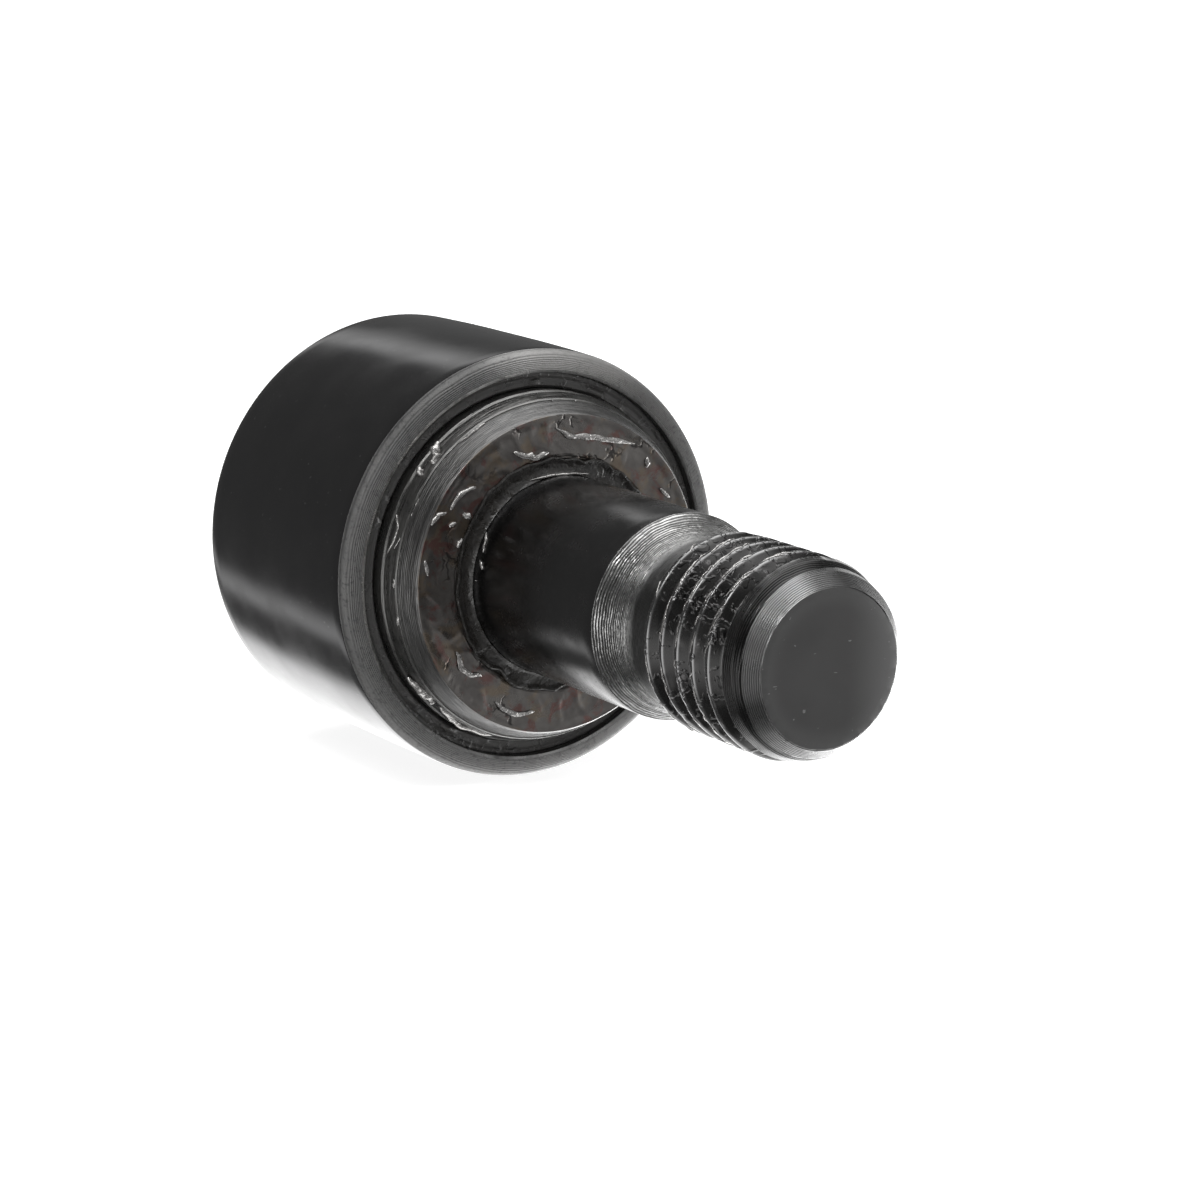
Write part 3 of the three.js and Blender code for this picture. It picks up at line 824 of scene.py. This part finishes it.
def envelope(s):
    tip = TIP_R + (TIP - s) * TIP_SLOPE
    if s > TIP - 0.08:  # rounded edge of the tip face
        t = (s - (TIP - 0.08)) / 0.08
        tip = TIP_R + 0.08 * TIP_SLOPE - 0.09 * (1 - math.sqrt(max(0.0, 1 - t * t))) - 0.01 * t
    nose = CREST - max(0.0, s - 20.9) * 0.32
    return min(NECK_R + (s - NECK_END) * 1.0, tip, CREST, nose)


def ridge(phase):
    """Radius of the full thread at a phase from -0.5 to 0.5 pitch, 0 at the crest."""
    p = abs(phase)
    flat = 0.075
    if p <= flat - 0.02:
        return CREST
    if p <= flat + 0.02:
        return CREST - 0.018 * ((p - flat + 0.02) / 0.04) ** 2
    top, foot = CREST - 0.018, ROOT + 0.02
    run = 0.395
    if p <= run:
        return top + (foot - top) * (p - flat - 0.02) / (run - flat - 0.02)
    return ROOT + 0.02 * (1 - smooth01((p - run) / 0.06))


PER = 26
turns = math.ceil((TIP - NECK_END) / PITCH) + 2
steps_at = []
for t in range(-1, turns):
    for k in range(PER):
        steps_at.append(t + k / PER)

rows = plain + cone + neck
verts, faces, slots, index = [], [], [], []
for r, s in rows:
    if r < 1e-9:
        index.append([len(verts)] * (SEG + 1))
        verts.append((0.0, -s, 0.0))
        continue
    start = len(verts)
    for i in range(SEG):
        phi = TAU * i / SEG
        rr = r
        if 10.4 < s < 14.25:
            rr += 0.004 * n3(r * math.sin(phi) * 1.5, s * 3, r * math.cos(phi) * 1.5)
        verts.append((rr * math.sin(phi), -s, rr * math.cos(phi)))
    index.append(list(range(start, start + SEG)) + [start])
kinds = [("row", r, s) for r, s in rows]
for u in steps_at:
    start = len(verts)
    for i in range(SEG + 1):
        phi = TAU * i / SEG
        s = NECK_END + u * PITCH - PITCH * i / SEG
        s = min(TIP, max(NECK_END, s))
        phase = (s - (CREST_AT - PITCH * i / SEG)) / PITCH
        phase -= round(phase)
        full = ridge(phase)
        first = smooth01((s + PITCH * i / SEG - (CREST_AT - 0.55 * PITCH)) / (0.3 * PITCH))
        r = min(ROOT + (full - ROOT) * first, envelope(s))
        a = phi % TAU
        cx, cz = math.sin(a), math.cos(a)
        if i in (0, SEG):
            cx, cz = 0.0, 1.0
        high = smooth01((r - 4.4) / 0.35) * (1 if s < TIP - 0.3 else 0)
        dent = n3(cx * 6, s * 1.6, cz * 6)
        r -= 0.03 * smooth01((dent - 0.1) / 0.4) * high
        verts.append((r * cx, -s, r * cz))
    index.append(list(range(start, start + SEG + 1)))
    kinds.append(("thread", u, 0))
tip_rows = [(3.3, TIP), (2.2, TIP), (1.1, TIP)]
for r, s in tip_rows:
    start = len(verts)
    for i in range(SEG):
        phi = TAU * i / SEG
        verts.append((r * math.sin(phi), -s, r * math.cos(phi)))
    index.append(list(range(start, start + SEG)) + [start])
    kinds.append(("tip", r, s))
index.append([len(verts)] * (SEG + 1))
verts.append((0.0, -TIP, 0.0))
kinds.append(("tip", 0, TIP))


def stud_slot(k):
    kind, r, s = kinds[k]
    if kind == "tip":
        return 3
    if kind == "thread":
        return 2
    if s > 10.98:
        return 1
    if s > -0.7 and r < 5.9:
        return 0
    if -15 < s < -4.1:
        return 5
    return 4


for a in range(len(index) - 1):
    ia, ib = index[a], index[a + 1]
    m = stud_slot(a + 1)
    for i in range(SEG):
        quad = [ia[i], ib[i], ib[i + 1], ia[i + 1]]
        shape = []
        for q in quad:
            if not shape or shape[-1] != q:
                shape.append(q)
        if len(shape) > 1 and shape[0] == shape[-1]:
            shape.pop()
        if len(shape) < 3:
            continue
        faces.append(tuple(shape))
        slots.append(m)
stud = finish_mesh("stud_threaded", verts, faces, ["shank", "relief", "thread", "tip", "turned", "bright"], slots, "stud", ["stud"], sharp=38.0)


def cutter(name, profile, seg, turn=0.0):
    verts, faces, _ = spin(profile, seg, False, lambda r, s: 0)
    if turn:
        c, s_ = math.cos(turn), math.sin(turn)
        verts = [(c * x + s_ * z, y, -s_ * x + c * z) for x, y, z in verts]
    mesh = bpy.data.meshes.new(name)
    mesh.from_pydata([tuple(k * MM for k in v) for v in verts], [], faces)
    bm = bmesh.new()
    bm.from_mesh(mesh)
    bmesh.ops.recalc_face_normals(bm, faces=bm.faces)
    bm.to_mesh(mesh)
    bm.free()
    mesh.materials.append(M["turned"])
    obj = bpy.data.objects.new(name, mesh)
    scene.collection.objects.link(obj)
    return obj


HEX = 5.0 / math.sqrt(3)
cutters = [
    cutter("cut_hex", [(0, -19.0), (HEX, -19.0), (HEX, -13.72), (HEX - 0.12, -13.6), (0, -13.6)], 6),
    cutter("cut_mouth", [(0, -18.8), (3.8, -18.8), (3.25, -18.2), (2.6, -17.75), (0, -17.75)], 96),
    cutter("cut_passage", [(0, -14.0), (1.5, -14.0), (1.5, -9.5), (0, -8.9)], 48),
]
for c in cutters:
    mod = stud.modifiers.new(c.name, "BOOLEAN")
    mod.operation, mod.solver, mod.object = "DIFFERENCE", "EXACT", c
    dg = bpy.context.evaluated_depsgraph_get()
    cut = bpy.data.meshes.new_from_object(stud.evaluated_get(dg), depsgraph=dg)
    stud.modifiers.clear()
    old = stud.data
    stud.data = cut
    bpy.data.meshes.remove(old)
    bpy.data.objects.remove(c)
cut.name = "stud_threaded"
cut.set_sharp_from_angle(angle=math.radians(38))

# fresh oil caught on the crests of the thread, in short crooked runs
oil = [[], [], []]
for k in range(64):
    u_, v_, w_ = ((k * 0.6180339) % 1.0, (k * 0.4142136 + 0.13) % 1.0, (k * 0.7320508 + 0.31) % 1.0)
    deg = -82 + 76 * u_ if k % 4 else -150 + 60 * u_
    at = 15.0 + 5.6 * v_
    crest_s = CREST_AT - PITCH * ((deg % 360) / 360)
    near = crest_s + PITCH * round((at - crest_s) / PITCH)
    r0 = min(CREST, envelope(near)) + 0.005
    span = 2.5 + 6.0 * w_
    lean_s = (0.35 * (v_ - 0.5)) if k % 3 else 0.0
    path = [(r0 - 0.04, deg - span, near + 0.10 * (u_ - 0.5) - lean_s), (r0, deg, near + 0.10 * (w_ - 0.5)), (r0 - 0.03, deg + span, near + 0.08 * (v_ - 0.5) + lean_s)]
    bv, bf = bead(path, 0.03 + 0.03 * w_, 0.03 + 0.02 * u_, 1.0, k * 2.3)
    base_i = len(oil[0])
    oil[0] += bv
    oil[1] += [tuple(q + base_i for q in f_) for f_ in bf]
    oil[2] += [0] * len(bf)
finish_mesh("thread_oil_runs", oil[0], oil[1], ["drops"], oil[2], "stud", ["stud"])

# ------------------------------------------------------------------ grease fitting
FIT = -14.7
pts = [(0.35, FIT + 1.5), (0.35, FIT + 0.42), (0.62, FIT), (1.5, FIT), (1.75, FIT + 0.22), (1.75, FIT + 1.05), (1.46, FIT + 1.05), (1.46, FIT + 3.2), (1.3, FIT + 3.4), (0.35, FIT + 3.4), (0.35, FIT + 1.5)]
pts = fillet(pts, {1: 0.1, 2: 0.12, 3: 0.1, 4: 0.08, 5: 0.05, 6: 0.04, 7: 0.08, 8: 0.06, 9: 0.03}, 4)[:-1]
v, fc, sl = spin(pts, 96, True, lambda r, s: 0)
finish_mesh("grease_fitting_turned", v, fc, ["brass"], sl, "stud", ["grease_fitting"])

# ------------------------------------------------------------------ needle cage: windows left open between its bars
MID, HALF, IN, OUT = -9.7, 5.3, 6.85, 8.2
COUNT, WIN = 14, 4.3
bar = 2 * math.asin((1.33) / 7.5)
angles = []
for k in range(COUNT):
    mid = TAU * (k + 0.5) / COUNT
    angles += [(mid + bar / 2 * f, True) for f in (-1, -0.5, 0, 0.5)]
    left, right_ = mid + bar / 2, mid + TAU / COUNT - bar / 2
    angles += [(left + (right_ - left) * f, False) for f in (0, 0.34, 0.67)]
levels = [-HALF, -HALF + 0.06, -WIN - 0.35, -WIN, -WIN / 2, 0, WIN / 2, WIN, WIN + 0.35, HALF - 0.06, HALF]
verts, faces = [], []


def cv(layer, i, j):
    return (layer * len(levels) + j) * len(angles) + i % len(angles)


for layer, rad in ((0, IN), (1, OUT)):
    for j, d in enumerate(levels):
        for a, _ in angles:
            rr = rad
            if j in (0, len(levels) - 1):
                rr += 0.06 if layer == 0 else -0.06
            # angle a is measured from +X towards +Z, as the needles are laid out
            verts.append((rr * math.cos(a), -(MID + d), rr * math.sin(a)))


def open_cell(i, j):
    return angles[i % len(angles)][1] and 3 <= j <= 6


for i in range(len(angles)):
    for j in range(len(levels) - 1):
        if open_cell(i, j):
            continue
        faces.append((cv(1, i, j), cv(1, i + 1, j), cv(1, i + 1, j + 1), cv(1, i, j + 1)))
        faces.append((cv(0, i, j), cv(0, i, j + 1), cv(0, i + 1, j + 1), cv(0, i + 1, j)))
        if i % 7 >= 4:
            if open_cell(i - 1, j):
                faces.append((cv(0, i, j), cv(1, i, j), cv(1, i, j + 1), cv(0, i, j + 1)))
            if open_cell(i + 1, j):
                faces.append((cv(0, i + 1, j), cv(0, i + 1, j + 1), cv(1, i + 1, j + 1), cv(1, i + 1, j)))
    for j, way in ((0, 1), (len(levels) - 1, -1)):
        q = (cv(0, i, j), cv(0, i + 1, j), cv(1, i + 1, j), cv(1, i, j))
        faces.append(q if way > 0 else q[::-1])
    if angles[i][1]:
        faces.append((cv(0, i, 3), cv(1, i, 3), cv(1, i + 1, 3), cv(0, i + 1, 3)))
        faces.append((cv(0, i, 7), cv(0, i + 1, 7), cv(1, i + 1, 7), cv(1, i, 7)))
finish_mesh("needle_cage_pressed", verts, faces, ["pressed"], [0] * len(faces), "needle_cage", ["needle_cage"])

# ------------------------------------------------------------------ needle rollers
for k in range(COUNT):
    a = TAU * (k + 0.5) / COUNT
    name = "needle_%02d" % (k + 1)
    R, L = 1.25, 4.2
    pts = [(0, MID - L)] + fillet([(0.5, MID - L), (R - 0.1, MID - L + 0.03), (R - 0.004, MID - L + 0.35), (R, MID - L + 0.9)], {1: 0.12, 2: 0.2}, 4)
    pts += [(r, 2 * MID - s) for r, s in pts[::-1]]
    v, fc, sl = spin(pts, 48, False, lambda r, s: 0, centre=(7.5 * math.cos(a), 0, 7.5 * math.sin(a)))
    finish_mesh(name + "_ground", v, fc, ["bright"], sl, name, [name])
